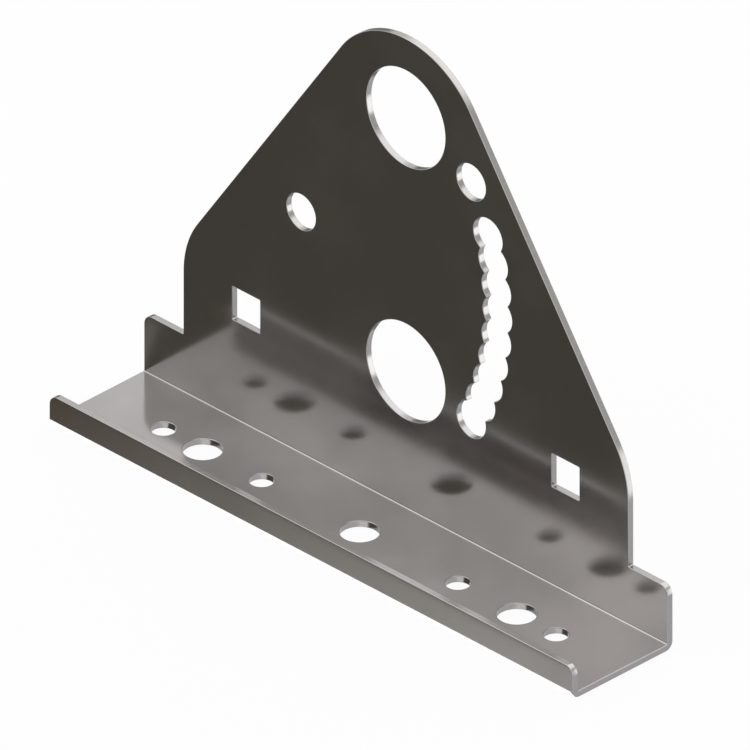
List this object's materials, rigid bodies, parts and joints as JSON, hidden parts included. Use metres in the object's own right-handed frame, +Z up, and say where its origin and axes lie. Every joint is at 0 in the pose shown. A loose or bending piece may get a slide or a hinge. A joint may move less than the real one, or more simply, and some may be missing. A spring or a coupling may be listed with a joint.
{
  "type": "mounting bracket",
  "caption": "Folded sheet steel bracket: a low channel foot and a tall tapered upright with round openings, a pivot hole and a scalloped index arc.",
  "frame": {"origin": "underside of the floor, at the centre of the bracket's footprint", "axes": "+X along the bracket, +Y from the front lip to the upright, +Z up"},
  "size_m": [0.2, 0.038, 0.15],
  "materials": {
    "sheet_steel": "satin bare steel with finely brushed cut edges"
  },
  "bodies": {
    "root": {"folded_bracket": "sheet_steel"}
  },
  "joints": []
}
